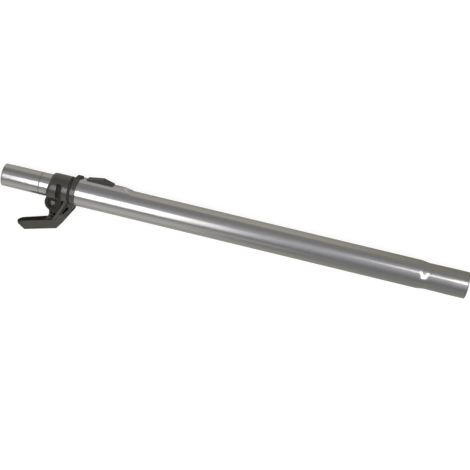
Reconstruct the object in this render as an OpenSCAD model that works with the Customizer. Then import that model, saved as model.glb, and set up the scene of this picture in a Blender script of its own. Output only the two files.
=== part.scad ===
// Telescopic extension wand: a thin tube slides in a wider one and is held by a roller lock.
// The tube axis is X: the mouth of the handle socket is at X = 0 and the nozzle end points to -X.
// Each piece is drawn with the thumb button on +Y, and lay_down() then rolls it as the wand lies.

/* [Tubes] */
// Overall length pushed together
closed_len = 657; // [645:1:700]
// Length of the outer tube from its mouth to the handle end
outer_len = 552.5; // [545:0.5:565]
// Outer diameter of the outer tube
outer_od = 39; // [38.6:0.1:39.6]
// Outer diameter of the inner tube, which is the nozzle spigot
inner_od = 32; // [31.8:0.1:32.2]
// Wall of both steel tubes
wall = 0.8; // [0.7:0.05:0.85]
// Distance from the nozzle end to the rolled bead
bead_at = 55; // [45:1:60]
// Height of the rolled bead
bead_h = 0.25; // [0.15:0.05:0.4]

/* [Handle socket] */
// Length of the socket
socket_len = 53; // [45:1:60]
// Length of the neck between tube and socket
neck_len = 14; // [10:1:20]
// Outer diameter of the socket just after the neck
socket_od = 36; // [35.6:0.1:36.4]
// Bore of the socket at its mouth, which takes the handle's spigot
socket_bore = 35.1; // [34.9:0.05:35.3]
// Length of the straight bore at the mouth
land_len = 22; // [15:1:30]

/* [Tunnel] */
// Length of the pressed tunnel from the tube's mouth
tunnel_len = 74; // [70:1:80]
// Height of the tunnel over the tube
tunnel_h = 2; // [1.9:0.05:2.2]
// Width of the flat roof of the tunnel
roof_w = 10; // [9.5:0.1:10.5]
// Radius of the tunnel's shoulders
shoulder_r = 3; // [2.8:0.1:3.2]
// Slope of the tunnel's flanks
flank_slope = 50; // [48:1:52]
// Slope of the tunnel's closed end
nose_slope = 15; // [13:1:18]

/* [Lock] */
// Distance from the tube's mouth to the locking roller
lock_at = 32.5; // [31:0.5:34]
// Travel of the thumb button
button_travel = 4; // [3.5:0.1:4]
// Diameter of the locking roller
roller_d = 4; // [3.8:0.1:4]
// Length of the locking roller
roller_len = 10; // [9.6:0.1:10]
// Diameter of the roller's journals
journal_d = 1.8; // [1.6:0.1:1.8]
// Depth that the roller drops into a notch
notch_depth = 1.4; // [1.2:0.05:1.5]
// Lift of the roller when the button is pushed
roller_lift = 1.5; // [1.45:0.05:1.55]
// Distance between two notches
notch_pitch = 20; // [18:1:20]
// Number of notches
notch_count = 19; // [15:1:19]
// Thickness of the cheeks that carry the roller
cheek_t = 1.4; // [1.2:0.1:1.5]

/* [Thumb button] */
// Length of the button
button_len = 38.6; // [38:0.2:40]
// Width of the button at its foot
button_w = 14; // [13.6:0.2:15]
// Height of the button's ridge over the tunnel
ridge_h = 5.2; // [4.6:0.1:5.6]
// Height of the button's front edge over the tunnel
front_h = 1.7; // [1.4:0.1:2]
// Height of the button's back edge over the tunnel
back_h = 1.2; // [1:0.1:1.4]
// Distance from the button's front edge to its ridge
ridge_at = 22; // [20:0.5:24]
// Distance from the button's front edge to the roller
button_lead = 18.4; // [17.5:0.1:19]
// Width of the carrier's boss in the button
boss_w = 8.4; // [7.8:0.1:8.6]
// Length of the carrier's boss in the button
boss_len = 16; // [14:0.5:17]

/* [Return spring] */
// Outer diameter of the spring
spring_od = 3.6; // [3.4:0.1:3.6]
// Wire of the spring
spring_wire = 0.45; // [0.4:0.05:0.5]
// Turns of the spring
spring_turns = 8; // [6:1:9]
// Length of the spring at rest
spring_len = 14.5; // [13:0.5:15]

/* [Guide sleeve] */
// Length of the sleeve inside the outer tube
sleeve_in = 82; // [78:1:88]
// Length of the sleeve's neck outside the outer tube
sleeve_out = 32.5; // [31:0.5:33]
// Wall of the sleeve's neck
neck_wall = 1.5; // [1.4:0.05:1.6]
// Thickness of the sleeve's flange
flange_t = 1.6; // [1.4:0.1:1.8]
// Length of the wiper ring
wiper_len = 5; // [4:0.5:6]
// Wall left round the wiper ring
wiper_wall = 0.6; // [0.5:0.05:0.7]

/* [Rear bush] */
// Length of the rear bush
bush_len = 22; // [18:1:26]
// Distance from the neck of the outer tube to the inner tube's hidden end
rear_gap = 10; // [8:1:14]
// Distance from the hidden end to the rear bush
bush_inset = 3; // [2:0.5:5]
// Diameter of the bush's locating pegs
peg_d = 6; // [5:0.5:7]
// Width of the seal ring
seal_w = 4; // [3:0.5:5]
// Depth of the seal ring's groove
seal_depth = 1.6; // [1.4:0.1:1.8]
// Distance from the bush's front end to its pegs
peg_at = 6.6; // [5:0.2:8]
// Distance from the bush's front end to the seal ring's groove
seal_at = 14.5; // [13:0.5:16]

/* [Collar] */
// Length of the collar outside the outer tube
collar_out = 34.5; // [34:0.1:35.5]
// Length of the mouth ring over the outer tube
ring_over = 4; // [3.5:0.25:5]
// Wall of the collar's body
collar_wall = 1.95; // [1.8:0.05:2.1]
// Wall of the mouth ring
ring_wall = 0.65; // [0.6:0.05:0.8]
// Wall of the bridge over the tunnel
bridge_wall = 1.6; // [1.4:0.1:2]
// Length of the bridge over the tunnel
bridge_len = 8.8; // [8:0.1:9]
// Length of the collar's rounded front edge
edge_len = 5; // [3:0.25:6]
// Height of the collar's rounded front edge
edge_h = 2.6; // [2:0.1:2.9]
// Width of the relief slot between the collar's two bands
relief_w = 6; // [4:0.5:7]
// Distance from the collar's front to the relief slot
relief_at = 11.5; // [11:0.5:13]
// Angle from the tunnel to the start of the relief slot, each way round
relief_from = 58; // [50:1:70]

/* [Clamp] */
// Radius of the clamp's boss
clamp_boss_r = 12; // [11:0.25:12.5]
// Half length of the clamp's boss, across the tube
clamp_boss_half = 13.5; // [12:0.25:14]
// Distance from the collar's front to the clamp screw
clamp_at = 8; // [7.5:0.25:9]
// Radius of the dish round the screw's head
dish_r = 7.5; // [6:0.25:8]
// Depth of the dish
dish_d = 1.8; // [1.2:0.1:2]
// Width of the slit that the screw pulls together
slit_w = 1.6; // [1.2:0.1:2]
// Shank diameter of the clamp screw
shank_d = 3; // [2.9:0.1:3.5]
// Head diameter of the clamp screw
head_d = 6; // [5.5:0.25:7]
// Head height of the clamp screw
head_h = 2; // [1.6:0.1:2.4]
// Width across the flats of the clamp nut
nut_w = 5.5; // [5.3:0.1:6]
// Thickness of the clamp nut
nut_t = 2.4; // [2:0.1:3]

/* [Parking hook] */
// Distance of the hook's corner below the tube axis
hook_drop = 56.2; // [52:0.5:62]
// Distance of the hook's corner in front of the tube's mouth
hook_corner_at = 17; // [14:0.5:20]
// Slope of the hook's leg from the collar, off the square
leg_slope = 31.4; // [28:0.2:35]
// Slope of the hook's tongue, off the tube axis
tongue_slope = 16.5; // [12:0.5:20]
// Length of the tongue's outer face
tongue_len = 49; // [40:1:56]
// Overhang of the tongue's tip on its inner face
tip_rake = 11; // [8:0.5:13]
// Thickness of the hook bar
bar_t = 12.4; // [11:0.2:13]
// Depth of the hook at its root, across the tube
root_depth = 24; // [22:0.5:26]
// Depth of the tongue at its tip
tip_depth = 18; // [16:0.5:20]
// Radius of the tongue's tip, seen from above
tip_r = 13; // [12:0.5:16]
// Wall of the hook bar's sides
hook_wall = 2.4; // [2:0.1:2.8]
// Thickness of the ribs inside the hook bar
rib_t = 1.8; // [1.5:0.1:2.2]
// Length of a pocket between two ribs
pocket_len = 9.4; // [8:0.2:10]
// Half thickness of the web between boss and hook
web_half = 9; // [8:0.25:10]
// Radius of the web's hollow edge
web_r = 14; // [12:0.5:16]
// Distance from the hook's corner to the bend of its leg
bend_at = 31; // [29:0.5:33]
// Distance from the hook's corner to the slot in the upper side of its leg
slot_at = 24.8; // [23:0.2:26]
// Distance from the leg's outer face to the middle of this slot
slot_in = 7.1; // [6:0.1:8]
// Width of this slot
slot_width = 3.4; // [3:0.1:3.8]
// Distance between the round ends of this slot
slot_run = 8.7; // [8:0.1:10]

/* [Clearances] */
// Running clearance round the inner tube and the rear bush
run_gap = 0.08; // [0.05:0.01:0.1]
// Clearance between pieces that are fixed to each other
seat_gap = 0.05; // [0.03:0.01:0.08]
// Clearance round the lock's sliding pieces
slide_gap = 0.2; // [0.15:0.01:0.25]
// Clearance between the button and the outside of the tunnel
button_gap = 0.3; // [0.25:0.05:0.4]

/* [Hidden] */
$fn = 96;

steel = "silver";
plastic = "#3f3d38";
soft = "#26241f";

// Radii of the tubes, and places along the axis.
outer_r = outer_od / 2;
bore_r = outer_r - wall;
inner_r = inner_od / 2;
air_r = inner_r - wall;
mouth_x = -outer_len;
nozzle_x = -closed_len;
neck_x = -socket_len - neck_len;
rear_x = neck_x - rear_gap;
lock_x = mouth_x + lock_at;
chamfer = 0.25;
over = 1;
// Flats stay this much inside the rounds that they meet.
blend = 0.02;

// Handle socket.
land_r = socket_bore / 2 + wall;
neck_drop = outer_r - socket_od / 2;
neck_steps = 16;

// Tunnel: two shoulder circles carry the roof, and flanks run from them down into the tube.
roof_s = outer_r + tunnel_h;
shoulder_s = roof_s - shoulder_r;
shoulder_t = roof_w / 2;
flank_reach = 8;
nose_x = mouth_x + tunnel_len - tunnel_h / tan(nose_slope);
nose_reach = 12;

// Guide sleeve.
sleeve_r = bore_r - seat_gap;
sleeve_bore = inner_r + run_gap;
sleeve_neck_r = inner_r + neck_wall + run_gap;
sleeve_x = mouth_x - sleeve_out;
wiper_r = sleeve_neck_r - wiper_wall;

// Roller, its ramp and the slide that carries it.
roller_r = roller_d / 2;
journal_r = journal_d / 2;
roller_s = inner_r - notch_depth + roller_r;
roller_half = roller_len / 2;
notch_r = roller_r + slide_gap;
notch_half = roller_half + 2 * slide_gap;
cheek_in = roller_half + slide_gap;
cheek_out = cheek_in + cheek_t;
cheek_foot = sqrt(inner_r * inner_r - cheek_in * cheek_in) + slide_gap;
cheek_rim = 1.3;
cheek_front = -journal_r - cheek_rim;
cheek_back = button_travel + journal_r + cheek_rim;
ramp_angle = atan2(roller_lift, button_travel);
plate_s = sleeve_r + slide_gap;
plate_front = -14;
plate_back = 15;
plate_lap = 0.5;
boss_rise = 1.8;
boss_top = roof_s + boss_rise;

// Return spring, in a groove of the sleeve under the tunnel.
groove_wall = 0.45;
groove_floor = sleeve_bore + groove_wall;
groove_half = spring_od / 2 + slide_gap;
spring_s = groove_floor + slide_gap / 2 + spring_od / 2;
spring_end_x = lock_x + plate_front;
lug_len = 2.5;

// Thumb button, with its own section and plan.
button_front = -button_lead;
button_back = button_front + button_len;
button_base = outer_r - over;
button_top = roof_s + ridge_h + over;
button_corner = 3;
button_lean = 0.8;
button_edge = 0.8;
ridge_flat = 2;
ridge_front_drop = 0.3;
ridge_back_drop = 0.4;
grip_count = 4;
grip_pitch = 2.6;
grip_r = 0.5;
grip_half = 4;

// Rear bush and its seal.
bush_x = rear_x - bush_inset - bush_len;
bush_in = inner_r + seat_gap;
bush_r = bore_r - run_gap;
seal_r = bush_r - seal_depth;
peg_x = bush_x + peg_at;
seal_x = bush_x + seal_at;

// Collar.
collar_bore = sleeve_neck_r + seat_gap;
body_r = collar_bore + collar_wall;
ring_bore = outer_r + seat_gap;
ring_r = ring_bore + ring_wall;
front_x = mouth_x - collar_out;
flange_x = mouth_x - flange_t;
ring_x = mouth_x + ring_over;
gap_w = 1.3;
gap_d = 0.8;
gap_back = 1.5;
gap_x = flange_x - gap_w - gap_back;
lip_gap = 0.6;
lip_r = inner_r + lip_gap;
bridge_lead = 0.8;
bridge_x = mouth_x - bridge_lead;
bridge_sweep = 20;
clamp_x = front_x + clamp_at;
screw_clear = 0.2;
clamp_drop = collar_bore + shank_d / 2 + screw_clear;
dish_face = clamp_boss_half - dish_d;
nut_sink = 1;
nut_face = clamp_boss_half - nut_sink;
nut_r = nut_w / sqrt(3);

// Parking hook: the corner of its outer outline, and the directions of leg and tongue.
corner = [mouth_x - hook_corner_at, -hook_drop];
leg_dir = [sin(leg_slope), cos(leg_slope)];
leg_in = [-cos(leg_slope), sin(leg_slope)];
tongue_dir = [-cos(tongue_slope), -sin(tongue_slope)];
tongue_in = [-sin(tongue_slope), cos(tongue_slope)];
leg_bend = corner + bend_at * leg_dir;
leg_root_at = 24.2;
root_drop = 11.7;
leg_top = [ring_x - seat_gap, -root_drop];
tip_out = corner + tongue_len * tongue_dir;
tip_in = tip_out + bar_t * tongue_in + tip_rake * tongue_dir;
inner_corner = meet(corner + bar_t * leg_in, leg_dir, corner + bar_t * tongue_in, tongue_dir);
leg_root = [front_x + leg_root_at, -root_drop];
root_half = root_depth / 2;
tip_half = tip_depth / 2;
skin_t = 2.6;
pocket_depth = bar_t - skin_t;
pocket_start = 4;
tongue_pockets = floor((tongue_len - pocket_start) / (pocket_len + rib_t));
leg_pockets = 3;
slot_low = corner + slot_at * leg_dir + slot_in * leg_in;
slot_high = slot_low + slot_run * leg_dir;
recess_top = [slot_high[0], -root_drop];
recess_d = 1.2;
recess_rim = 0.3;

// The web's hollow edge is a circle that touches both the clamp's boss and the tongue's inner face.
hollow_start = inner_corner + web_r * tongue_in;
hollow_off = [clamp_x, -clamp_drop] - hollow_start;
hollow_run = hollow_off * tongue_dir
    + sqrt(pow(hollow_off * tongue_dir, 2) + pow(clamp_boss_r + web_r - blend, 2) - hollow_off * hollow_off);
hollow = hollow_start + (hollow_run * tongue_dir - blend * tongue_in);
// Small pockets in the web: distance from the screw along the tube, distance below it, and radius.
web_pockets = [[-1.7, 16.9, 1.6], [2.8, 18.1, 2.1], [-0.5, 21.9, 1.6]];
web_pocket_d = 4;

// Roll at which mouth ring and hook touch the floor together.
function roll_for(drop, half) = asin(ring_r / norm([drop, half])) - atan2(half, drop);
roll = min(roll_for(hook_drop, root_half), roll_for(-tip_out[1], tip_half));

// Point where the line through p along u meets the line through q along v.
function cross2(a, b) = a[0] * b[1] - a[1] * b[0];
function meet(p, u, q, v) = p + u * cross2(q - p, v) / cross2(u, v);
function flip(p) = [p[0], -p[1]];

// Half depth of the hook at a place along the axis.
function hook_half(x) =
    root_half + (tip_half - root_half) * min(1, max(0, (corner[0] - x) / (corner[0] - tip_in[0])));

// Rolls a piece about the tube axis to how the wand lies.
module lay_down() {
    rotate([roll, 0, 0]) children();
}

// Extrudes a section, drawn as [Y, Z], along the tube axis.
module along_x(from, len) {
    translate([from, 0, 0]) rotate([90, 0, 90]) linear_extrude(len) children();
}

// Revolves an outline, drawn as [radius, X], about the tube axis.
module revolve_x() {
    rotate([0, 90, 0]) rotate_extrude() children();
}

module rod_x(from, len, r) {
    translate([from, 0, 0]) rotate([0, 90, 0]) cylinder(h = len, r = r);
}

// A rod across the tube, centred on Z = 0.
module cross_rod(x, s, r, half) {
    translate([x, s, -half]) cylinder(h = 2 * half, r = r, $fn = 48);
}

// Block between two corners.
module block(low, high) {
    translate(low) cube(high - low);
}

// Section with two shoulders of radius r, whose flanks leave at a slope.
module saddle(r, slope, reach) {
    q = r - blend;
    foot = [shoulder_s + q * cos(slope), shoulder_t + q * sin(slope)];
    end = foot + reach * [-sin(slope), cos(slope)];
    for (m = [1, -1]) translate([shoulder_s, m * shoulder_t]) circle(r);
    polygon([end, foot, [shoulder_s + q, shoulder_t], [shoulder_s + q, -shoulder_t], flip(foot), flip(end)]);
}

// Section of the tunnel, grown by a distance.
module tunnel_section(grow) {
    saddle(shoulder_r + grow, flank_slope, flank_reach);
}

// The tunnel's outer form grown by a distance, with its sloped nose.
module tunnel(grow, from) {
    difference() {
        along_x(from, nose_x - from + nose_reach) tunnel_section(grow);
        translate([nose_x + grow * tan(nose_slope / 2), roof_s + grow, 0]) rotate([0, 0, -nose_slope])
            block([-nose_reach, 0, -outer_r], [2 * nose_reach, outer_r, outer_r]);
    }
}

// Steel tube skin from mouth to socket, as [radius, X] points.
function outer_skin(inset, from, to) = concat(
    [[outer_r - inset, from]],
    [for (i = [0:neck_steps]) let (f = i / neck_steps)
        [outer_r - inset - neck_drop * (1 - cos(180 * f)) / 2, neck_x + neck_len * f]],
    [[land_r - inset, -land_len], [land_r - inset, to]]
);

module outer_tube() {
    rim = outer_skin(0, mouth_x, -chamfer);
    bore = outer_skin(wall, mouth_x - over, over);
    color(steel) lay_down() difference() {
        union() {
            revolve_x() polygon(concat([[0, mouth_x]], rim, [[land_r - chamfer, 0], [0, 0]]));
            tunnel(0, mouth_x);
        }
        revolve_x() polygon(concat([[0, mouth_x - over]], bore, [[0, over]]));
        tunnel(-wall, mouth_x - over);
        block([lock_x - boss_len / 2 - button_travel - 2 * slide_gap, bore_r, -boss_w / 2 - slide_gap],
            [lock_x + boss_len / 2 + 2 * slide_gap, roof_s + over, boss_w / 2 + slide_gap]);
    }
}

// Notches are pressed in, so the wall bulges into the bore behind each one.
module inner_tube() {
    bead_r = 0.8;
    color(steel) lay_down() difference() {
        union() {
            difference() {
                union() {
                    revolve_x() polygon([[0, nozzle_x], [inner_r - chamfer, nozzle_x],
                        [inner_r, nozzle_x + chamfer], [inner_r, rear_x], [0, rear_x]]);
                    revolve_x() translate([inner_r + bead_h - bead_r, nozzle_x + bead_at])
                        circle(bead_r, $fn = 32);
                }
                rod_x(nozzle_x - over, closed_len, air_r);
            }
            intersection() {
                rod_x(nozzle_x, closed_len, inner_r - wall / 2);
                notches(notch_r + wall, notch_half + wall);
            }
        }
        notches(notch_r, notch_half);
        cross_rod(peg_x, 0, peg_d / 2 + seat_gap, inner_r + over);
    }
}

module notches(r, half) {
    for (i = [0:notch_count - 1]) cross_rod(lock_x + notch_pitch * i, roller_s, r, half);
}

// Bush in the outer tube's mouth, with a neck for the collar and the seats of the lock.
module guide_sleeve() {
    color(plastic) lay_down() difference() {
        union() {
            rod_x(sleeve_x, sleeve_out, sleeve_neck_r);
            rod_x(flange_x, flange_t, outer_r);
            rod_x(mouth_x, sleeve_in, sleeve_r);
        }
        rod_x(sleeve_x - over, sleeve_in + sleeve_out + 2 * over, sleeve_bore);
        rod_x(sleeve_x - over, wiper_len + over, wiper_r);
        roller_well(lock_x, notch_r, roller_half + slide_gap / 2);
        for (m = [1, -1]) {
            cheek_channel(m);
        }
        block([spring_end_x - spring_len, groove_floor, -groove_half],
            [spring_end_x + lug_len + slide_gap, outer_r, groove_half]);
    }
}

// Pocket that holds the roller along the tube and lets it rise.
module roller_well(x, r, half) {
    block([x - r, inner_r - notch_depth, -half], [x + r, outer_r, half]);
}

// Channel of the sleeve in which one cheek of the carrier slides.
module cheek_channel(side) {
    inner = cheek_in - slide_gap / 2;
    outer = cheek_out + slide_gap;
    block([lock_x + cheek_front - button_travel - 2 * slide_gap, air_r - 3 * over, side > 0 ? inner : -outer],
        [lock_x + cheek_back + 2 * slide_gap, outer_r, side > 0 ? outer : -inner]);
}

// Seal held between the sleeve's neck and the collar's lip.
module wiper_ring() {
    color(soft) lay_down() difference() {
        rod_x(sleeve_x, wiper_len, wiper_r - seat_gap);
        rod_x(sleeve_x - over, wiper_len + 2 * over, inner_r + run_gap / 2);
    }
}

// Slot along the ramp on which the roller rises, as wide as a rod of radius r.
module ramp(r, half) {
    run = norm([button_travel, roller_lift]);
    flat = r - blend;
    cross_rod(0, roller_s, r, half);
    cross_rod(button_travel, roller_s + roller_lift, r, half);
    translate([0, roller_s, 0]) rotate([0, 0, ramp_angle])
        block([0, -flat, blend - half], [run, flat, half - blend]);
}

// Slide under the tunnel: its plate, the cheeks with their ramps, the spring lug and the button's boss.
module slide_carrier() {
    color(plastic) lay_down() translate([lock_x, 0, 0]) difference() {
        union() {
            intersection() {
                along_x(plate_front, plate_back - plate_front) tunnel_section(-wall - slide_gap);
                block([plate_front, plate_s, -cheek_out], [plate_back, roof_s, cheek_out]);
            }
            for (m = [1, -1])
                block([cheek_front, cheek_foot, m > 0 ? cheek_in : -cheek_out],
                    [cheek_back, plate_s + plate_lap, m > 0 ? cheek_out : -cheek_in]);
            block([-boss_len / 2, plate_s + plate_lap, -boss_w / 2], [boss_len / 2, boss_top, boss_w / 2]);
            block([plate_front, groove_floor + slide_gap, -spring_od / 2],
                [plate_front + lug_len, plate_s + plate_lap, spring_od / 2]);
        }
        ramp(journal_r + run_gap, cheek_out + over);
        ramp(roller_r + slide_gap, cheek_in);
    }
}

// Side outline of the button: a low front edge, a ridge, and a slope down to the back edge.
module thumb_button() {
    ridge = [button_front + ridge_at, roof_s + ridge_h];
    side = [[button_front, button_base], [button_front, roof_s + front_h - button_edge],
        [button_front + button_edge, roof_s + front_h], ridge - [ridge_flat, ridge_front_drop], ridge,
        ridge + [ridge_flat, -ridge_back_drop], [button_back - button_edge, roof_s + back_h],
        [button_back, roof_s + back_h - button_edge], [button_back, button_base]];
    grip_angle = atan2(ridge_h - back_h, button_len - ridge_at);
    color(plastic) lay_down() translate([lock_x, 0, 0]) difference() {
        intersection() {
            translate([0, 0, -button_w]) linear_extrude(2 * button_w) polygon(side);
            along_x(button_front - over, button_len + 2 * over) button_section();
            translate([0, button_top, 0]) rotate([90, 0, 0]) linear_extrude(button_top) button_plan();
        }
        translate([-lock_x, 0, 0]) tunnel(button_gap, mouth_x);
        block([-boss_len / 2 - seat_gap, button_base, -boss_w / 2 - seat_gap],
            [boss_len / 2 + seat_gap, boss_top + seat_gap, boss_w / 2 + seat_gap]);
        for (i = [1:grip_count])
            translate(concat(ridge + i * grip_pitch * [cos(grip_angle), -sin(grip_angle)], [0]))
                cross_rod(0, 0, grip_r, grip_half);
    }
}

// Sides of the button lean in towards the ridge.
module button_section() {
    half = button_w / 2;
    base = button_base - over;
    tip = half - button_lean;
    polygon([[base, half], [button_top, tip], [button_top, -tip], [base, -half]]);
}

// Plan of the button with rounded corners.
module button_plan() {
    c = button_corner;
    half = button_w / 2;
    for (x = [button_front + c, button_back - c], z = [half - c, c - half])
        translate([x, z]) circle(c, $fn = 48);
    translate([button_front + c, blend - half]) square([button_len - 2 * c, button_w - 2 * blend]);
    translate([button_front + blend, c - half]) square([button_len - 2 * blend, button_w - 2 * c]);
}

module locking_roller() {
    color(steel) lay_down() union() {
        cross_rod(lock_x, roller_s, roller_r, roller_half);
        cross_rod(lock_x, roller_s, journal_r, cheek_out);
    }
}

// Wire swept along a helix, with both ends closed.
module return_spring() {
    per_turn = 16;
    sides = 6;
    mean_r = (spring_od - spring_wire) / 2;
    steps = per_turn * spring_turns;
    run = spring_len - spring_wire;
    points = [for (i = [0:steps], j = [0:sides - 1])
        let (turn = 360 * i / per_turn, around = 360 * j / sides,
            r = mean_r + spring_wire / 2 * cos(around))
        [spring_wire / 2 + run * i / steps + spring_wire / 2 * sin(around), r * cos(turn), r * sin(turn)]];
    walls = [for (i = [0:steps - 1], j = [0:sides - 1]) let (k = (j + 1) % sides)
        each [[i * sides + j, i * sides + k, (i + 1) * sides + k],
            [i * sides + j, (i + 1) * sides + k, (i + 1) * sides + j]]];
    first = [for (j = [0:sides - 1]) sides - 1 - j];
    last = [for (j = [0:sides - 1]) steps * sides + j];
    color(steel) lay_down() translate([spring_end_x - spring_len, spring_s, 0])
        polyhedron(points, concat(walls, [first, last]));
}

// One half of the rear bush, on the side that m points to.
module rear_half(m) {
    color(plastic) lay_down() difference() {
        union() {
            intersection() {
                difference() {
                    rod_x(bush_x, bush_len, bush_r);
                    rod_x(bush_x - over, bush_len + 2 * over, bush_in);
                }
                block([bush_x, -bush_r, m > 0 ? seat_gap / 2 : -bush_r],
                    [bush_x + bush_len, bush_r, m > 0 ? bush_r : -seat_gap / 2]);
            }
            translate([peg_x, 0, m > 0 ? air_r : -bush_in - wall / 2])
                cylinder(h = bush_in + wall / 2 - air_r, r = peg_d / 2, $fn = 48);
        }
        difference() {
            rod_x(seal_x, seal_w + 2 * seat_gap, bush_r + over);
            rod_x(seal_x - over, seal_w + 3 * over, seal_r);
        }
    }
}

module rear_bush_left() {
    rear_half(-1);
}

module rear_bush_right() {
    rear_half(1);
}

module rear_seal() {
    color(soft) lay_down() difference() {
        rod_x(seal_x + seat_gap, seal_w, bore_r - run_gap / 2);
        rod_x(seal_x - over, seal_w + 3 * over, seal_r + seat_gap);
    }
}

// Collar body, mouth ring and rounded front edge, as one turned form with its relief slot.
module collar_body() {
    round_steps = 8;
    front = [for (i = [0:round_steps]) let (a = 90 * i / round_steps)
        [body_r - edge_h * (1 - sin(a)), front_x + edge_len * (1 - cos(a))]];
    difference() {
        revolve_x() polygon(concat([[0, front_x]], front,
            [[body_r, gap_x], [body_r - gap_d, gap_x], [body_r - gap_d, gap_x + gap_w],
            [ring_r, gap_x + gap_w], [ring_r, ring_x - chamfer], [ring_r - chamfer, ring_x], [0, ring_x]]));
        along_x(front_x + relief_at, relief_w) difference() {
            circle(body_r + over);
            polygon([[0, 0], 2 * body_r * [cos(relief_from), sin(relief_from)],
                [4 * body_r, 0], 2 * body_r * [cos(relief_from), -sin(relief_from)]]);
        }
    }
}

// Bridge of the mouth ring over the tunnel. Its flanks run tangent into the ring, and its back end
// sweeps round from the roof to the ring's edge.
module bridge() {
    r = shoulder_r + bridge_wall;
    reach = norm([shoulder_s, shoulder_t]);
    slope = atan2(shoulder_t, shoulder_s) + acos((ring_r - r) / reach);
    difference() {
        along_x(bridge_x, bridge_len) saddle(r, slope, sqrt(reach * reach - pow(ring_r - r, 2)));
        for (m = [1, -1]) translate([ring_x + bridge_sweep, 0, m * ring_r * sin(slope)])
            rotate([-90, 0, 0]) cylinder(h = 2 * outer_r, r = bridge_sweep);
    }
}

// Side outline of the hook bar.
module hook_outline() {
    polygon([leg_top, leg_bend, corner, tip_out, tip_in, inner_corner, leg_root]);
}

// Plan of the hook: it narrows to the tip, and the tip is rounded.
module hook_plan() {
    intersection() {
        polygon([[ring_x, root_half], [corner[0], root_half], [tip_in[0], tip_half],
            [tip_in[0], -tip_half], [corner[0], -root_half], [ring_x, -root_half]]);
        union() {
            translate([tip_in[0] + tip_r, 0]) circle(tip_r);
            translate([tip_in[0] + tip_r, -root_half]) square([closed_len, root_depth]);
        }
    }
}

// Row of pockets along one arm of the hook, which points in the direction turn. They are cut in
// from its outer face, so that skin, sides and ribs are left.
module pockets(count, turn, side) {
    for (i = [0:count - 1]) {
        at = pocket_start + i * (pocket_len + rib_t);
        half = hook_half(corner[0] + (at + pocket_len) * cos(turn)) - hook_wall;
        translate([corner[0], corner[1], 0]) rotate([0, 0, turn])
            block([at, side > 0 ? -over : -pocket_depth, -half],
                [at + pocket_len, side > 0 ? pocket_depth : over, half]);
    }
}

// Web between the screw boss and the hook, with small pockets on both sides.
module web() {
    difference() {
        translate([0, 0, -web_half]) linear_extrude(2 * web_half) difference() {
            polygon([[clamp_x, -clamp_drop], hollow, hollow - (web_r + over) * tongue_in,
                inner_corner - over * tongue_in, leg_root]);
            translate(hollow) circle(web_r);
        }
        for (m = [1, -1]) for (p = web_pockets)
            translate([clamp_x + p[0], -clamp_drop - p[1], m * web_half])
                cylinder(h = 2 * web_pocket_d, r = p[2], center = true, $fn = 48);
    }
}

// Slit from the bore through the boss, which ends in the relief slot.
module clamp_slit() {
    block([front_x - clamp_boss_r, -clamp_drop - 2 * clamp_boss_r, -slit_w / 2],
        [front_x + relief_at + relief_w / 2, -inner_r / 2, slit_w / 2]);
}

// Six-sided prism along Z.
module hexagon(r, from, to) {
    translate([0, 0, from]) cylinder(h = to - from, r = r, $fn = 6);
}

// Moves to the clamp screw, with +Z towards its head.
module at_clamp() {
    translate([clamp_x, -clamp_drop, 0]) children();
}

module parking_collar() {
    color(plastic) lay_down() difference() {
        union() {
            collar_body();
            bridge();
            cross_rod(clamp_x, -clamp_drop, clamp_boss_r, clamp_boss_half);
            web();
            difference() {
                intersection() {
                    translate([0, 0, -root_half]) linear_extrude(root_depth) hook_outline();
                    rotate([90, 0, 0]) linear_extrude(2 * hook_drop) hook_plan();
                }
                pockets(tongue_pockets, 180 + tongue_slope, -1);
                pockets(leg_pockets, 90 - leg_slope, 1);
                side_track(slot_low, slot_high, slot_width / 2, hook_wall + over);
                for (m = [0, 1]) mirror([0, 0, m])
                    side_track(slot_high, recess_top, slot_width / 2 + recess_rim, recess_d);
            }
        }
        rod_x(front_x - clamp_boss_r, clamp_boss_r + collar_out + ring_over + over, lip_r);
        rod_x(sleeve_x - seat_gap, sleeve_out + 2 * seat_gap, collar_bore);
        rod_x(flange_x - seat_gap, closed_len, ring_bore);
        tunnel(button_gap / 2, mouth_x);
        clamp_slit();
        at_clamp() {
            cylinder(h = 3 * body_r, r = shank_d / 2 + seat_gap, $fn = 48, center = true);
            translate([0, 0, dish_face]) cylinder(h = body_r, r = dish_r);
            hexagon(nut_r + seat_gap, -body_r - over, nut_t - nut_face + seat_gap);
        }
    }
}

// Round-ended track in the side of the leg between two places, cut in to a depth.
module side_track(from, to, r, depth) {
    run = to - from;
    translate([from[0], from[1], root_half - depth]) rotate([0, 0, atan2(run[1], run[0])]) {
        for (x = [0, norm(run)]) translate([x, 0, 0]) cylinder(h = depth + over, r = r, $fn = 48);
        block([0, blend - r, 0], [norm(run), r - blend, depth + over]);
    }
}

// Clamp screw with its cross-slotted head in the dish.
module clamp_screw() {
    length = dish_face + nut_face;
    cross_w = 0.9;
    cross_d = 0.8;
    color(steel) lay_down() at_clamp() difference() {
        union() {
            translate([0, 0, -nut_face]) cylinder(h = length, r = shank_d / 2, $fn = 48);
            translate([0, 0, dish_face]) cylinder(h = head_h, r = head_d / 2, $fn = 48);
        }
        for (turn = [0, 90]) translate([0, 0, dish_face + head_h]) rotate([0, 0, turn])
            cube([0.6 * head_d, cross_w, 2 * cross_d], center = true);
    }
}

module clamp_nut() {
    color(steel) lay_down() at_clamp() difference() {
        hexagon(nut_r, -nut_face, nut_t - nut_face);
        translate([0, 0, -body_r]) cylinder(h = body_r, r = shank_d / 2 + seat_gap / 2, $fn = 48);
    }
}

outer_tube();
inner_tube();
guide_sleeve();
wiper_ring();
parking_collar();
clamp_screw();
clamp_nut();
slide_carrier();
thumb_button();
locking_roller();
return_spring();
rear_bush_left();
rear_bush_right();
rear_seal();
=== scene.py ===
"""Studio scene of a telescopic vacuum extension wand, in metres, in the CAD model's frame."""

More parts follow.
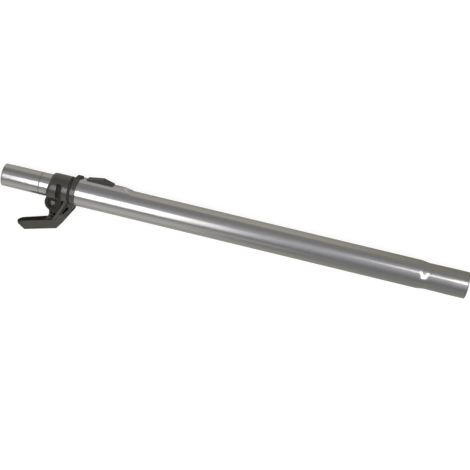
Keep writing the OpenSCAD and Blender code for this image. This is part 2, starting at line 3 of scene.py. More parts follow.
import math

import bmesh
import bpy
from mathutils import Matrix, Vector


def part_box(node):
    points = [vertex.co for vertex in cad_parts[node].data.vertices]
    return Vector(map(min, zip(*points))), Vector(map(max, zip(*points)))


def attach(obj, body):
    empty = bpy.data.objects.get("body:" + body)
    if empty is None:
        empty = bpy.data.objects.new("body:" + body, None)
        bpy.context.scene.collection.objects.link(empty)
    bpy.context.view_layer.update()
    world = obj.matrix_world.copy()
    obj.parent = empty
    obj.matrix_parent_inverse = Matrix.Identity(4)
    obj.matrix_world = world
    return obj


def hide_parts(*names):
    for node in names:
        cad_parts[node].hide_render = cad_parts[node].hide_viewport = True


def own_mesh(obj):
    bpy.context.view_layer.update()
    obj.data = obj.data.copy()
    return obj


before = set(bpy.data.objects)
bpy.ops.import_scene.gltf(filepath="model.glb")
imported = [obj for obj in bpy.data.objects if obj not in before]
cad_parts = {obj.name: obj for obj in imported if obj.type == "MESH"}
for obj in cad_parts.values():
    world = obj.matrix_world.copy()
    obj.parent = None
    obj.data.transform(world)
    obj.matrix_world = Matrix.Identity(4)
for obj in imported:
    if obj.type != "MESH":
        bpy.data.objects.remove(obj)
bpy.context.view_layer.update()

# The tube axis is X. The side with the thumb button is rolled up by ROLL from +Y.
ROLL = math.radians(8.52)
ALONG = Vector((1, 0, 0))
TOWARDS_BUTTON = Vector((0, math.cos(ROLL), math.sin(ROLL)))
ACROSS = Vector((0, -math.sin(ROLL), math.cos(ROLL)))
FLOOR_Z = -0.0202

# The photograph's camera: its frame is 470 pixels wide and high.
FRAME_PX = 470
FOCAL_PX = 930
SENSOR_MM = 36
DISTANCE = 1.282
ROUND_TUBE = math.radians(20)
ALONG_TUBE = math.radians(5)
TILT = math.radians(13.53)
AIM = Vector((-0.3224, 0, 0))
AIM_ABOVE_CENTRE_PX = 5.28
CLIP = (0.05, 60)

# Chrome: its two tones, a painted highlight on the flanks of the pressed tunnel, and painted shade at
# the rounded tube ends and along the bead.
CHROME_TONES = ((0.41, 0.402, 0.385), (0.43, 0.422, 0.405))
CHROME_ROUGHNESS = (0.06, 0.36)
CHROME_CLOUD = 14
DRAWN_LINES = 12000
LINE_STRETCH = (0.03, 1, 1)
TUNNEL_PAINTED_HIGHLIGHT = (0.68, 0.66, 0.62)
TUNNEL_OFF_TUBE = (0.0198, 0.0204)
TUNNEL_ROOF = (0.0205, 0.0218)
# Painted shade: a darker chrome colour at the rounded tube ends and along the bead, with soft edges.
PAINTED_EDGE_SHADE = (0.17, 0.17, 0.17)
EDGE_SHADE_SOFT = 0.0004
RIM = 0.0010
BEAD_AT = 0.055
BEAD_HALF = 0.0003

# Plastic: its cloudy tone, the moulded grain, painted shade in its corners and its broken edges.
PLASTIC_CLOUD = 60
PLASTIC_GRAIN = 2600
GRAIN_DEPTH = 0.00002
CORNER_REACH = 0.006
CORNER_OPEN = (0.35, 0.95)
EDGE_RADIUS = 0.0005
CLOUD_TONE = 1.18
CORNER_PAINTED_SHADE = 0.2
# Factor of the painted highlight on the leg's rib and on the tongue's upper face.
PAINTED_HIGHLIGHT_TONE = 1.5
GLOSS_BELOW = 0.04
GLOSS_ABOVE = 0.06

# Steel of the small parts, and rubber.
STEEL_GRAIN = 900
STEEL_UNEVEN = 0.07
RUBBER_GRAIN = 1500
RUBBER_TONES = ((0.018, 0.018, 0.018), (0.03, 0.03, 0.029))
RUBBER_ROUGHNESS = 0.62
RUBBER_BUMP = 0.2
RUBBER_DEPTH = 0.0002

# The collar, along the tube from its front and round the tube from the button's side.
MOUTH = Vector((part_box("outer_tube")[0][0], 0, 0))
COLLAR_OUT = 0.0345
COLLAR_FRONT = MOUTH.x - COLLAR_OUT
BODY_SPAN = (0.006, 0.029)
SEAM = (0.0275, 0.0306)
PANEL = (0.0140, 0.0192)
SEAM_TURN = 121
PANEL_FROM = 60
CARVE = 0.0005
CLEAR = 0.003

# The hook's leg, from its inner edge inwards, from its lower end and from the middle plane.
# The ends of the inner edge are measured from the mouth and towards the button.
LEG_LOW = MOUTH + ALONG * -0.0251 + TOWARDS_BUTTON * -0.0457
LEG_HIGH = MOUTH + ALONG * -0.0103 + TOWARDS_BUTTON * -0.0117
LEG_RUN = (LEG_HIGH - LEG_LOW).normalized()
LEG_INWARD = LEG_RUN.cross(ACROSS).normalized()
LEG_HALF = 0.012
GROOVE = (0.0050, 0.0072)
GROOVE_RUN = (0.014, 0.033)
GROOVE_DEPTH = 0.0008
GROOVE_CLEAR = 0.002
RIB = (0.0003, 0.0042)
RIB_RUN = (0.002, 0.036)
RIB_SINK = 0.001

# The clamp's boss and its dish.
CLAMP_AT = 0.008
CLAMP_DROP = -sum((Vector(c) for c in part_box("clamp_screw")), Vector()).dot(TOWARDS_BUTTON) / 2
BOSS_R = 0.0120
BOSS_HALF = 0.0100
DISH_R = 0.00752
DISH_SPAN = (0.01171, 0.025)

# The collar's front edge sweeps forward from SWEEP_FROM, and is fully forward after SWEEP_RISE.
SWEEP_FROM = 56
SWEEP_TURN = 121
SWEEP_RISE = 74
SWEEP_FORWARD = 0.0037
SWEEP_SINK = 0.0002
SWEEP_SKIN = 0.00003
SWEEP_BACK = 0.0047
SWEEP_WALL = 0.0015
LIP_END = 0.0008
LIP_R = 0.01665
EDGE_LEN = 0.0044
EDGE_H = 0.0026

# Edges of the collar's painted shade and painted highlights, and how soft they are. Distances are
# towards the button, along the tube from its mouth, from the middle plane (UP), or up the leg
# (CLIMB). A ramp with four numbers is its start, its end, and its values there.
HOOK_BELOW = (-0.0115, -0.0125)
SIDE_UP = (0.0092, 0.0098)
WEB_UP = (0.0096, 0.0090)
SEAM_SOFT = 0.0006
PANEL_SOFT = 0.0008
PANEL_BELOW = (0.0095, 0.006)
BRIDGE_ABOVE = (0.0215, 0.0225)
BRIDGE_FROM = (-0.001, -0.0005)
LEG_SOFT = 0.0005
RIB_CLIMB = (0.001, 0.004)
GROOVE_CLIMB = (0.012, 0.022)
BOSS_SOFT = 0.0003
BOSS_UP_SOFT = 0.0002
BOSS_BELOW = (-0.012, -0.0135)
INNER_FACING = (0.6, 0.85)
INNER_BELOW = (-0.030, -0.034)
TONGUE_PAINTED_HIGHLIGHT = (-0.034, -0.038, 0, 0.9)
CARVED_MATT = 0.75

# Mesh clean-up after the carving.
WELD = 0.000002
SHARP = math.radians(28)


def make_camera():
    """Camera nearly straight above the wand, turned so that the wand slopes down to the right."""
    away = ACROSS * math.cos(ROUND_TUBE) + TOWARDS_BUTTON * math.sin(ROUND_TUBE)
    button_side = TOWARDS_BUTTON * math.cos(ROUND_TUBE) - ACROSS * math.sin(ROUND_TUBE)
    back = away * math.cos(ALONG_TUBE) + ALONG * math.sin(ALONG_TUBE)
    run = ALONG * math.cos(ALONG_TUBE) - away * math.sin(ALONG_TUBE)
    right = run * math.cos(TILT) + button_side * math.sin(TILT)
    up = button_side * math.cos(TILT) - run * math.sin(TILT)
    place = AIM + back * DISTANCE
    down = AIM_ABOVE_CENTRE_PX / FOCAL_PX
    back = (back + up * down).normalized()
    up = back.cross(right).normalized()
    data = bpy.data.cameras.new("photo_camera")
    data.sensor_width = SENSOR_MM
    data.sensor_height = SENSOR_MM
    data.lens = FOCAL_PX / FRAME_PX * SENSOR_MM
    data.clip_start, data.clip_end = CLIP
    camera = bpy.data.objects.new("photo_camera", data)
    bpy.context.scene.collection.objects.link(camera)
    turn = Matrix((right, up, back)).transposed().to_4x4()
    camera.matrix_world = Matrix.Translation(place) @ turn
    bpy.context.scene.camera = camera


class Graph:
    """Node tree of a material or of the world, with a short call for each kind of node.

    A value is another node's output, a number, a vector, or a colour of three numbers.
    """

    def __init__(self, tree):
        self.nodes = tree.nodes
        self.links = tree.links

    def put(self, socket, value):
        if isinstance(value, bpy.types.NodeSocket):
            self.links.new(value, socket)
        elif socket.type == "RGBA":
            socket.default_value = (*value, 1)
        else:
            socket.default_value = value

    def node(self, kind, inputs):
        """New node, with values for its inputs by name or number."""
        node = self.nodes.new(kind)
        for place, value in inputs.items():
            self.put(node.inputs[place], value)
        return node

    def math(self, operation, *values):
        node = self.node("ShaderNodeMath", dict(enumerate(values)))
        node.operation = operation
        return node.outputs[0]

    def ramp(self, value, start, end, low=0, high=1):
        """Smooth change from low at start to high at end."""
        node = self.node(
            "ShaderNodeMapRange",
            {"Value": value, "From Min": start, "From Max": end, "To Min": low, "To Max": high},
        )
        node.interpolation_type = "SMOOTHSTEP"
        return node.outputs["Result"]

    def spread(self, value, low, high):
        """Even change from low at 0 to high at 1."""
        node = self.node("ShaderNodeMapRange", {"Value": value, "To Min": low, "To Max": high})
        return node.outputs["Result"]

    def window(self, value, start, end, soft):
        """1 between start and end, with soft edges, and 0 outside them."""
        rise = self.ramp(value, start - soft, start)
        return self.math("MULTIPLY", rise, self.ramp(value, end, end + soft, 1, 0))

    def all_of(self, mask, *others):
        for other in others:
            mask = self.math("MULTIPLY", mask, other)
        return mask

    def lowered(self, value, *cuts):
        """value less the share of each cut where its mask is 1."""
        for mask, share in cuts:
            value = self.math("MULTIPLY_ADD", mask, -share, value)
        return value

    def place(self):
        """The shaded point, in the object's own coordinates."""
        return self.nodes.new("ShaderNodeTexCoord").outputs["Object"]

    def parts(self, vector):
        """X, Y and Z of a vector."""
        return self.node("ShaderNodeSeparateXYZ", {0: vector}).outputs

    def length(self, vector):
        node = self.node("ShaderNodeVectorMath", {0: vector})
        node.operation = "LENGTH"
        return node.outputs["Value"]

    def dot(self, vector, direction):
        node = self.node("ShaderNodeVectorMath", {0: vector, 1: direction})
        node.operation = "DOT_PRODUCT"
        return node.outputs["Value"]

    def distance(self, normal, origin):
        """Signed distance of the shaded point from a plane."""
        return self.math("SUBTRACT", self.dot(self.place(), normal), normal.dot(origin))

    def stretched(self, scale):
        """The shaded point, with each coordinate times its scale."""
        node = self.node("ShaderNodeMapping", {"Vector": self.place(), "Scale": scale})
        return node.outputs["Vector"]

    def noise(self, scale, detail, stretch=(1, 1, 1)):
        place = self.stretched(stretch)
        node = self.node("ShaderNodeTexNoise", {"Vector": place, "Scale": scale, "Detail": detail})
        return node.outputs["Fac"]

    def between(self, share, first, second):
        """Number from first, where share is 0, to second."""
        return self.node("ShaderNodeMix", {0: share, 2: first, 3: second}).outputs[0]

    def blend(self, share, first, second):
        """Colour from first, where share is 0, to second."""
        node = self.nodes.new("ShaderNodeMix")
        node.data_type = "RGBA"
        for number, value in ((0, share), (6, first), (7, second)):
            self.put(node.inputs[number], value)
        return node.outputs[2]

    def mix(self, share, first, second):
        """Shader from first, where share is 0, to second."""
        return self.node("ShaderNodeMixShader", {0: share, 1: first, 2: second}).outputs[0]

    def bump(self, height, depth, strength=1, normal=None):
        inputs = {"Height": height, "Distance": depth, "Strength": strength}
        if normal is not None:
            inputs["Normal"] = normal
        return self.node("ShaderNodeBump", inputs).outputs["Normal"]

    def reflection(self):
        """1 for what is seen in a reflection."""
        return self.nodes.new("ShaderNodeLightPath").outputs["Is Glossy Ray"]

    def direct_view(self):
        """1 for what is seen directly, or through a clear piece."""
        rays = self.nodes.new("ShaderNodeLightPath").outputs
        return self.math("MAXIMUM", rays["Is Camera Ray"], rays["Is Transmission Ray"])


def new_material(name):
    material = bpy.data.materials.new(name)
    material.use_nodes = True
    return material, Graph(material.node_tree), material.node_tree.nodes["Principled BSDF"].inputs


def times(colour, factor):
    return tuple(part * factor for part in colour)


def chrome_material(name, shaded_places):
    """Polished chrome. Fine drawing lines along the tube spread part of each reflection, the
    flanks of the pressed tunnel carry a painted highlight, and places between the given X values
    carry painted shade."""
    material, graph, shader = new_material(name)
    tone = graph.blend(graph.noise(CHROME_CLOUD, 2), *CHROME_TONES)
    radius = graph.length(graph.stretched((0, 1, 1)))
    towards = graph.distance(TOWARDS_BUTTON, MOUTH)
    off_tube = graph.ramp(radius, *TUNNEL_OFF_TUBE)
    below_roof = graph.ramp(towards, *TUNNEL_ROOF, 1, 0)
    # Painted highlight: the flanks of the tunnel get a paler chrome colour that stands in for a
    # reflection.
    tone = graph.blend(graph.all_of(off_tube, below_roof), tone, TUNNEL_PAINTED_HIGHLIGHT)
    along = graph.parts(graph.place())[0]
    # Painted shade at the rounded ends and along the bead.
    for start, end in shaded_places:
        tone = graph.blend(graph.window(along, start, end, EDGE_SHADE_SOFT), tone, PAINTED_EDGE_SHADE)
    lines = graph.noise(DRAWN_LINES, 1, LINE_STRETCH)
    graph.put(shader["Metallic"], 1)
    graph.put(shader["Base Color"], tone)
    graph.put(shader["Roughness"], graph.spread(lines, *CHROME_ROUGHNESS))
    return material


def plastic_material(name, colour, roughness, specular, tones=None):
    """Moulded plastic with a fine spark-eroded grain, softly broken edges, slightly uneven gloss
    and painted shade in its corners. tones gives a painted shade, the share of a painted highlight
    tone, the least roughness and the share of its gloss that is left."""
    material, graph, shader = new_material(name)
    cloud = graph.noise(PLASTIC_CLOUD, 3)
    # Painted shade: the colour darkens where the ambient occlusion finds surfaces close by.
    corners = graph.node("ShaderNodeAmbientOcclusion", {"Distance": CORNER_REACH})
    painted_shade = graph.ramp(corners.outputs["AO"], *CORNER_OPEN)
    gloss = graph.spread(cloud, roughness - GLOSS_BELOW, roughness + GLOSS_ABOVE)
    tone = graph.blend(cloud, colour, times(colour, CLOUD_TONE))
    level = specular
    if tones:
        low, high, matt, shine = tones(graph)
        # The collar's painted shade darkens the colour and lowers the specular level.
        level = graph.math("MULTIPLY", shine, specular)
        painted_shade = graph.math("MULTIPLY", painted_shade, low)
        gloss = graph.math("MAXIMUM", gloss, matt)
        # Painted highlight: a paler colour where the collar's masks ask for it.
        tone = graph.blend(high, tone, times(colour, PAINTED_HIGHLIGHT_TONE))
    edges = graph.node("ShaderNodeBevel", {"Radius": EDGE_RADIUS}).outputs["Normal"]
    grain = graph.noise(PLASTIC_GRAIN, 2)
    graph.put(shader["Specular IOR Level"], level)
    graph.put(shader["Base Color"], graph.blend(painted_shade, times(colour, CORNER_PAINTED_SHADE), tone))
    graph.put(shader["Roughness"], gloss)
    graph.put(shader["Normal"], graph.bump(grain, GRAIN_DEPTH, normal=edges))
    return material


def band_painted_shade(graph, along, towards):
    """Mask of the painted shade in the seam, on the panel behind the relief slot and on the bridge
    over the tunnel.
    """
    seam = [COLLAR_FRONT + x for x in SEAM]
    seam = graph.window(along, seam[0], seam[1] + SEAM_SOFT, SEAM_SOFT)
    panel = [COLLAR_FRONT + x for x in PANEL]
    panel = graph.window(along, *panel, PANEL_SOFT)
    panel = graph.all_of(panel, graph.ramp(towards, *PANEL_BELOW))
    above_hook = graph.ramp(towards, *reversed(HOOK_BELOW))
    carved = graph.all_of(graph.math("MAXIMUM", seam, panel), above_hook)
    bridge = graph.all_of(
        graph.ramp(towards, *BRIDGE_ABOVE),
        graph.ramp(along, *(MOUTH.x + x for x in BRIDGE_FROM)),
    )
    return graph.math("MAXIMUM", carved, bridge)


def leg_painted_light(graph, hook_side):
    """Masks of the painted highlight on the rib and the painted shade in the groove on the upper side
    of the leg.
    """
    depth = graph.distance(LEG_INWARD, LEG_LOW)
    climb = graph.distance(LEG_RUN, LEG_LOW)
    rib = graph.window(depth, *RIB, LEG_SOFT)
    rib = graph.all_of(rib, hook_side, graph.ramp(climb, *RIB_CLIMB))
    groove = graph.window(depth, *GROOVE, LEG_SOFT)
    groove = graph.all_of(groove, hook_side, graph.ramp(climb, *GROOVE_CLIMB))
    return rib, groove


def boss_painted_shade(graph, along, towards, up):
    """Mask of the painted shade on the clamp's boss, outside the collar's band."""
    from_clamp = {
        0: graph.math("SUBTRACT", along, COLLAR_FRONT + CLAMP_AT),
        1: graph.math("ADD", towards, CLAMP_DROP),
    }
    radius = graph.length(graph.node("ShaderNodeCombineXYZ", from_clamp).outputs[0])
    return graph.all_of(
        graph.ramp(radius, BOSS_R + BOSS_SOFT, BOSS_R - BOSS_SOFT),
        graph.ramp(up, BOSS_HALF - BOSS_UP_SOFT, BOSS_HALF + BOSS_UP_SOFT),
        graph.ramp(towards, *BOSS_BELOW),
    )


def inner_painted_shade(graph, towards):
    """Mask of the painted shade on the tongue's inner face, which looks towards the tube."""
    normal = graph.nodes.new("ShaderNodeNewGeometry").outputs["True Normal"]
    facing = graph.ramp(graph.dot(normal, TOWARDS_BUTTON), *INNER_FACING)
    return graph.all_of(facing, graph.ramp(towards, *INNER_BELOW))


def collar_painted_light_and_gloss(graph):
    """Painted shade, share of the painted highlight tone, least roughness and share of the gloss on
    the collar.
    """
    along = graph.parts(graph.place())[0]
    towards = graph.distance(TOWARDS_BUTTON, MOUTH)
    up = graph.math("ABSOLUTE", graph.distance(ACROSS, MOUTH))
    hook = graph.ramp(towards, *HOOK_BELOW)
    side = graph.ramp(up, *SIDE_UP)
    band = band_painted_shade(graph, along, towards)
    rib, groove = leg_painted_light(graph, graph.all_of(side, hook))
    boss = boss_painted_shade(graph, along, towards, up)
    inner = inner_painted_shade(graph, towards)
    web = graph.all_of(hook, graph.ramp(up, *WEB_UP))
    tongue = graph.all_of(side, graph.ramp(towards, *TONGUE_PAINTED_HIGHLIGHT))
    # Painted shade: the seam, panel and bridge, the leg's groove, the web, the tongue's inner face
    # and the boss are darkened in colour, and some of them lose part of their specular level too.
    painted_shade = graph.lowered(1, (band, 0.7), (groove, 0.7), (web, 0.25), (inner, 0.25), (boss, 0.65))
    matt = graph.math("MULTIPLY", graph.math("MAXIMUM", band, inner), CARVED_MATT)
    shine = graph.lowered(1, (inner, 0.62), (web, 0.4), (boss, 0.4))
    # The rib and the tongue's upper face get a painted highlight.
    return painted_shade, graph.math("MAXIMUM", rib, tongue), matt, shine


def steel_material(name, darker, lighter, roughness):
    """Steel of the small parts, with a fine grain in its plating."""
    material, graph, shader = new_material(name)
    grain = graph.noise(STEEL_GRAIN, 3)
    uneven = graph.spread(grain, roughness - STEEL_UNEVEN, roughness + STEEL_UNEVEN)
    graph.put(shader["Metallic"], 1)
    graph.put(shader["Base Color"], graph.blend(grain, darker, lighter))
    graph.put(shader["Roughness"], uneven)
    return material


def rubber_material():
    material, graph, shader = new_material("seal_rubber")
    grain = graph.noise(RUBBER_GRAIN, 3)
    graph.put(shader["Base Color"], graph.blend(grain, *RUBBER_TONES))
    graph.put(shader["Roughness"], RUBBER_ROUGHNESS)
    graph.put(shader["Normal"], graph.bump(grain, RUBBER_DEPTH, RUBBER_BUMP))
    return material


def new_piece(name, points, faces):
    mesh = bpy.data.meshes.new(name)
    mesh.from_pydata(points, [], faces)
    piece = bpy.data.objects.new(name, mesh)
    bpy.context.scene.collection.objects.link(piece)
    return piece


def skin(name, sections):
    """Solid through sections, each with the same number of points."""
    count = len(sections[0])
    points = [point for section in sections for point in section]
    faces = []
    for start in range(0, count * (len(sections) - 1), count):
        for i in range(count):
            j = (i + 1) % count
            faces.append((start + i, start + j, start + count + j, start + count + i))
    faces.append(tuple(reversed(range(count))))
    faces.append(tuple(range(len(points) - count, len(points))))
    return new_piece(name, points, faces)


def prism(name, outline, low, high):
    """Solid over an outline of points, from one offset to another."""
    return skin(name, [[point + low for point in outline], [point + high for point in outline]])


def round_tube(degrees):
    """Direction off the tube's axis, at an angle from the button's side."""
    angle = math.radians(degrees)
    return TOWARDS_BUTTON * math.cos(angle) + ACROSS * math.sin(angle)


def ring_cut(name, span, radii, start, end):
    """Part of a ring round the collar, between two angles from the button's side."""
    steps = 48
    turns = [start + (end - start) * i / steps for i in range(steps + 1)]
    outline = [round_tube(turn) * radii[0] for turn in turns]
    outline += [round_tube(turn) * radii[1] for turn in reversed(turns)]
    low, high = (ALONG * (COLLAR_FRONT + x) for x in span)
    return prism(name, outline, low, high)


def leg_bar(name, depth, climb, low, high):
    """Bar along the hook's leg, between two depths, two heights and two distances from its
    middle plane."""
    corners = ((depth[0], climb[0]), (depth[1], climb[0]), (depth[1], climb[1]), (depth[0], climb[1]))
    outline = [LEG_LOW + LEG_INWARD * a + LEG_RUN * b for a, b in corners]
    return prism(name, outline, ACROSS * low, ACROSS * high)


def front_sweep(name, side, body_r):
    """Rounded front edge that sweeps forward from the collar to the screw boss, on one side."""
    steps, turns = 8, 40
    skin_r = body_r - SWEEP_SKIN
    sections = []
    for i in range(turns + 1):
        turned = SWEEP_TURN * i / turns
        rise = math.sin(math.radians(90) * min(1, turned / SWEEP_RISE))
        front = SWEEP_SINK - SWEEP_FORWARD * rise
        section = [
            (body_r - SWEEP_WALL, SWEEP_BACK),
            (body_r - SWEEP_WALL, LIP_END),
            (LIP_R, LIP_END),
            (LIP_R, front),
        ]
        for k in range(steps + 1):
            bend = math.radians(90) * k / steps
            edge_r = skin_r - EDGE_H * (1 - math.sin(bend))
            section.append((edge_r, front + EDGE_LEN * (1 - math.cos(bend))))
        section.append((skin_r, SWEEP_BACK))
        out = round_tube((SWEEP_FROM + turned) * side)
        sections.append([out * radius + ALONG * (COLLAR_FRONT + x) for radius, x in section])
    return skin(name, sections)


def dish_tool(name):
    """Round tool that opens the dish of the clamp screw again."""
    steps = 96
    centre = ALONG * (COLLAR_FRONT + CLAMP_AT) - TOWARDS_BUTTON * CLAMP_DROP
    outline = []
    for i in range(steps):
        turn = math.tau * i / steps
        outline.append(centre + (ALONG * math.cos(turn) + TOWARDS_BUTTON * math.sin(turn)) * DISH_R)
    return prism(name, outline, ACROSS * DISH_SPAN[0], ACROSS * DISH_SPAN[1])


def make_outward(piece):
    shape = bmesh.new()
    shape.from_mesh(piece.data)
    bmesh.ops.recalc_face_normals(shape, faces=shape.faces)
    shape.to_mesh(piece.data)
    shape.free()


def carve(piece, tools):
    """Cuts away or adds each tool, in turn, and removes the tools."""
    for operation, tool in tools:
        make_outward(tool)
        step = piece.modifiers.new(tool.name, "BOOLEAN")
        step.operation = operation
        step.solver = "EXACT"
        step.object = tool
    ready = piece.evaluated_get(bpy.context.evaluated_depsgraph_get())
    mesh = bpy.data.meshes.new_from_object(ready)
    piece.modifiers.clear()
    piece.data = mesh
    for _, tool in tools:
        bpy.data.objects.remove(tool)


def smooth_again(mesh):
    """Welds the points of a carved mesh and shades it smooth up to its sharp edges."""
    if "custom_normal" in mesh.attributes:
        mesh.attributes.remove(mesh.attributes["custom_normal"])
    shape = bmesh.new()
    shape.from_mesh(mesh)
    bmesh.ops.remove_doubles(shape, verts=shape.verts, dist=WELD)
    bmesh.ops.dissolve_degenerate(shape, edges=shape.edges, dist=WELD)
    for face in shape.faces:
        face.smooth = True
    shape.to_mesh(mesh)
    shape.free()
    mesh.set_sharp_from_angle(angle=SHARP)


def stand_in(name, node_name, body):
    """Copy of a CAD node that stands for it and rides on its body."""
    piece = bpy.data.objects.new(name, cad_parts[node_name].data.copy())
    bpy.context.scene.collection.objects.link(piece)
    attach(piece, body)
    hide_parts(node_name)
    return piece


def pressed_spring():
    """The return spring, copied with a mesh of its own; in the wand the slide presses it together
    towards its fixed end.
    """
    spring = stand_in("pressed_spring", "return_spring", "outer_stage")
    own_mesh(spring)
    return spring


def carved_collar():
    """The collar with its seam, the panel behind the slot, the groove and rib of the leg, and
    the front edge that sweeps forward to the screw boss."""
    collar = stand_in("carved_collar", "parking_collar", "outer_stage")
    body_r = max(
        Vector((0, v.co.y, v.co.z)).length
        for v in collar.data.vertices
        if BODY_SPAN[0] < v.co.x - COLLAR_FRONT < BODY_SPAN[1] and v.co.dot(TOWARDS_BUTTON) > 0
    )
    radii = (body_r - CARVE, body_r + CLEAR)
    groove = (LEG_HALF - GROOVE_DEPTH, LEG_HALF + GROOVE_CLEAR)
    tools = (
        ("DIFFERENCE", ring_cut("seam_cut", SEAM, radii, -SEAM_TURN, SEAM_TURN)),
        ("DIFFERENCE", ring_cut("panel_cut", PANEL, radii, PANEL_FROM, SEAM_TURN)),
        ("DIFFERENCE", leg_bar("groove_cut", GROOVE, GROOVE_RUN, *groove)),
        ("UNION", leg_bar("rib_form", RIB, RIB_RUN, LEG_HALF - RIB_SINK, LEG_HALF + CARVE)),
        ("UNION", front_sweep("upper_sweep", 1, body_r)),
        ("UNION", front_sweep("lower_sweep", -1, body_r)),
        ("DIFFERENCE", dish_tool("dish_cut")),
    )
    carve(collar, tools)
    smooth_again(collar.data)
    return collar


def dress_nodes():
    """Gives each CAD node, or the piece that stands for it, its finish."""
    mouth_end, socket_end = (corner[0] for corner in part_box("outer_tube"))
    nozzle_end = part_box("inner_tube")[0][0]
    bead = nozzle_end + BEAD_AT
    # The tube ends and the bead get painted shade.
    chrome = chrome_material(
        "outer_chrome", ((mouth_end, mouth_end + RIM), (socket_end - RIM, socket_end))
    )
    inner_chrome = chrome_material(
        "inner_chrome", ((nozzle_end, nozzle_end + RIM), (bead - BEAD_HALF, bead + BEAD_HALF))
    )
    dark = plastic_material("collar_plastic", (0.054, 0.049, 0.039), 0.20, 0.56, collar_painted_light_and_gloss)
    button = plastic_material("button_plastic", (0.033, 0.0305, 0.0245), 0.34, 0.22)
    inner = plastic_material("bush_plastic", (0.020, 0.019, 0.017), 0.55, 0.2)
    steel = steel_material("plated_steel", (0.50, 0.50, 0.48), (0.60, 0.60, 0.58), 0.27)
    # Darker steel of the clamp screw and nut.
    dark_steel = steel_material(
        "darker_steel", (0.16, 0.15, 0.135), (0.23, 0.215, 0.195), 0.38
    )
    rubber = rubber_material()
    finish = {
        "outer_tube": chrome,
        "inner_tube": inner_chrome,
        "guide_sleeve": inner,
        "wiper_ring": rubber,
        "parking_collar": dark,
        "clamp_screw": dark_steel,
        "clamp_nut": dark_steel,
        "slide_carrier": inner,
        "thumb_button": button,
        "locking_roller": steel,
        "return_spring": steel,
        "rear_bush_left": inner,
        "rear_bush_right": inner,
        "rear_seal": rubber,
    }
    pieces = dict(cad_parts)
    pieces["parking_collar"] = carved_collar()
    pieces["return_spring"] = pressed_spring()
    for name, material in finish.items():
        for place in pieces[name].material_slots:
            place.link = "OBJECT"
            place.material = material


FLOOR_RADIUS = 8
FLOOR_WHITE = (0.85, 0.85, 0.85)
FLOOR_GLOW = 1.22
GLOW_RAMP = (0.6, 3, 0.7, 1)
# What the chrome mirrors of the floor: its tones to the left and to the right, darker to the right as
# painted shade, and a painted shadow in the narrow gap below the tube. A ramp is its start, its end,
# and its values there.
PAPER_LEFT = (0.90, 0.885, 0.82)
PAPER_RIGHT_SHADE = (0.48, 0.475, 0.42)
PAPER_GAP_SHADOW = (0.30, 0.29, 0.26)
GAP_REACH = 0.05
HOOK_SIDE_RAMP = (-0.35, 0.35, 0, 0.8)
BUTTON_SIDE_RAMP = (0.05, 0.35, 0, 1)
SIDE_CHANGE = (-0.02, 0.02)


def mirrored_shaded_paper(graph):
    """Paper for reflections, with painted shade that darkens it to the right and a painted shadow in
    the gap below the tube.
    """
    place = graph.parts(graph.place())
    hook_side = graph.ramp(place[0], *HOOK_SIDE_RAMP)
    button_side = graph.ramp(place[0], *BUTTON_SIDE_RAMP)
    level = graph.between(graph.ramp(place[1], *SIDE_CHANGE), hook_side, button_side)
    # Painted shadow: the mirrored floor darkens where the ambient occlusion finds the wand close by.
    open_share = graph.node("ShaderNodeAmbientOcclusion", {"Distance": GAP_REACH}).outputs["AO"]
    paper = graph.blend(level, PAPER_LEFT, PAPER_RIGHT_SHADE)
    colour = graph.blend(open_share, PAPER_GAP_SHADOW, paper)
    return graph.node("ShaderNodeBsdfDiffuse", {"Color": colour}).outputs[0]


def make_floor():
    """Plain white floor that keeps the wand's soft shadow."""
    bpy.ops.mesh.primitive_circle_add(vertices=96, radius=FLOOR_RADIUS, fill_type="NGON")
    floor = bpy.context.object
    floor.name = "floor"
    floor.location = (AIM.x, 0, FLOOR_Z)
    material, graph, _ = new_material("floor_white")
    diffuse = graph.node("ShaderNodeBsdfDiffuse", {"Color": FLOOR_WHITE}).outputs[0]
    glow = graph.node("ShaderNodeEmission", {"Strength": FLOOR_GLOW}).outputs[0]
    share = graph.ramp(graph.length(graph.place()), *GLOW_RAMP)
    seen = graph.math("MULTIPLY", graph.direct_view(), share)
    surface = graph.mix(seen, diffuse, glow)
    surface = graph.mix(graph.reflection(), surface, mirrored_shaded_paper(graph))
    graph.put(graph.nodes["Material Output"].inputs["Surface"], surface)
    floor.data.materials.append(material)


WHITE = (1, 1, 1)
WALL_LIGHT = 0.42
ROOM_LIGHT = 0.40
ROOM_LOW = (1, 0.985, 0.9)
ROOM_HIGH = (0.97, 0.975, 1.08)
ROOM_TONE = (0, 0.8)
# Ramps of the room's brightness, over X, Y or Z of the direction.
HORIZON_X = (-0.2, 0.12, 0.22, 0.05)
HORIZON_Z = (0, 0.25, 1, 0)
OVERHEAD_RISE_Y = (-0.4, 0.3, 0, 0.32)
OVERHEAD_FALL_Y = (0.3, 0.9, 1, 0)
DIP_RISE_Y = (-0.35, -0.55, 0, -0.07)
DIP_FALL_Y = (-0.7, -0.9, 1, 0)
LEFT_X = (-0.34, -0.26, 0.78, 1)


def room_level(graph, x, y, z):
    """Brightness of the room that reflections show, by direction."""
    horizon = graph.all_of(graph.ramp(x, *HORIZON_X), graph.ramp(z, *HORIZON_Z))
    overhead = graph.all_of(graph.ramp(y, *OVERHEAD_RISE_Y), graph.ramp(y, *OVERHEAD_FALL_Y))
    dip = graph.all_of(graph.ramp(y, *DIP_RISE_Y), graph.ramp(y, *DIP_FALL_Y))
    level = graph.math("ADD", horizon, ROOM_LIGHT)
    level = graph.math("ADD", level, overhead)
    level = graph.math("ADD", level, dip)
    return graph.math("MULTIPLY", level, graph.ramp(x, *LEFT_X))


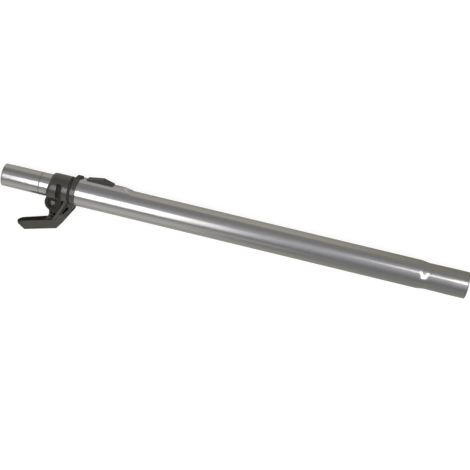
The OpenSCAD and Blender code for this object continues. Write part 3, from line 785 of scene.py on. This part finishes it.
def make_world():
    """White backdrop, with a grey room that only reflections show."""
    world = bpy.data.worlds.new("studio")
    bpy.context.scene.world = world
    world.use_nodes = True
    graph = Graph(world.node_tree)
    fill = graph.nodes["Background"]
    graph.put(fill.inputs["Color"], WHITE)
    graph.put(fill.inputs["Strength"], WALL_LIGHT)
    white = graph.node("ShaderNodeBackground", {"Color": WHITE})
    direction = graph.nodes.new("ShaderNodeTexCoord").outputs["Generated"]
    x, y, z = graph.parts(direction)
    tone = graph.blend(graph.ramp(z, *ROOM_TONE), ROOM_LOW, ROOM_HIGH)
    level = room_level(graph, x, y, z)
    room = graph.node("ShaderNodeBackground", {"Color": tone, "Strength": level})
    surface = graph.mix(graph.reflection(), fill.outputs[0], room.outputs[0])
    surface = graph.mix(graph.direct_view(), surface, white.outputs[0])
    graph.put(graph.nodes["World Output"].inputs["Surface"], surface)


def softbox(name, start, end, width, radiance, aim=None):
    """Rectangular lamp from start to end, with a given width and brightness of its face. It
    faces the point aim, or straight down."""
    start, end = Vector(start), Vector(end)
    middle = (start + end) / 2
    side = (end - start).normalized()
    back = middle - aim if aim else Vector((0, 0, 1))
    back = (back - side * back.dot(side)).normalized()
    data = bpy.data.lights.new(name, "AREA")
    data.shape = "RECTANGLE"
    data.size = (end - start).length
    data.size_y = width
    data.energy = radiance * math.pi * data.size * data.size_y
    lamp = bpy.data.objects.new(name, data)
    bpy.context.scene.collection.objects.link(lamp)
    turn = Matrix((side, back.cross(side), back)).transposed().to_4x4()
    lamp.matrix_world = Matrix.Translation(middle) @ turn


LAMP_HEIGHT = 1.9
# Ceiling lamps: name, ends of the middle line as X and Y, width and brightness of the face.
CEILING_LAMPS = (
    ("key_left", (-1.215, -0.19), (-1.06, -0.19), 1.30, 8.0),
    ("key_gap_near", (-1.06, -0.57), (-0.93, -0.57), 0.66, 0.6),
    ("key_gap_far", (-1.06, 0.13), (-0.93, 0.13), 0.74, 1.4),
    ("key_middle", (-0.93, -0.18), (-0.70, -0.18), 1.40, 3.2),
    ("key_end", (-0.70, 0.04), (-0.50, 0.04), 0.96, 1.5),
    ("strip", (0.07, 0.83), (0.45, 0.83), 0.16, 4.0),
    ("socket_lamp", (0.27, 0.80), (0.45, 0.80), 0.40, 4.0),
    ("neck_lamp", (0.50, 1.5), (0.85, -0.75), 0.23, 6.0),
)
# Cards on the hook's side: name, ends of the middle line, width and brightness of the face.
CARDS = (
    ("side_card", (-1.7, -2.2, 0.7), (-0.62, -2.2, 0.7), 1.4, 0.48),
    ("upper_card", (-1.7, -1.7, 1.6), (-0.3, -1.7, 1.6), 0.8, 0.3),
)
CARD_AIM = Vector((-0.4, 0, 0))


def make_lights():
    for name, start, end, width, radiance in CEILING_LAMPS:
        softbox(name, (*start, LAMP_HEIGHT), (*end, LAMP_HEIGHT), width, radiance)
    for card in CARDS:
        softbox(*card, CARD_AIM)


make_camera()
make_floor()
make_world()
make_lights()
dress_nodes()
bpy.context.scene.view_settings.view_transform = "Standard"
